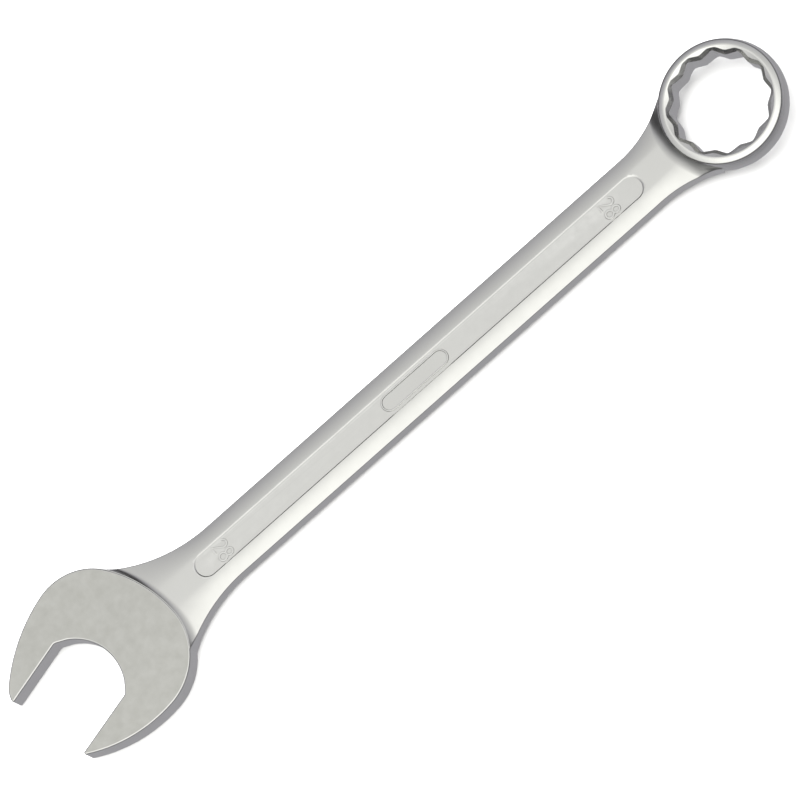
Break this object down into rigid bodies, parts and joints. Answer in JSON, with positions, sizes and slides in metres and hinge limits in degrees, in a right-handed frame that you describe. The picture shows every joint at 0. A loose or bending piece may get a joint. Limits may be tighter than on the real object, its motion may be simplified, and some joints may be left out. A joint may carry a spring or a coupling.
{
  "type": "combination wrench",
  "caption": "Forged combination wrench with an angled open jaw, a straight shank with a sunk panel, and a raised bi-hexagon ring end.",
  "frame": {"origin": "centre of a nut held in the open jaw, on the jaw's middle plane", "axes": "+X along the shank from the jaw towards the ring, +Z out of the marked face, the side that the ring is raised towards"},
  "size_m": [0.3045, 0.0554, 0.016],
  "materials": {
    "forging": "satin chrome plate over forged steel"
  },
  "bodies": {
    "root": {"wrench": "forging"}
  },
  "joints": []
}
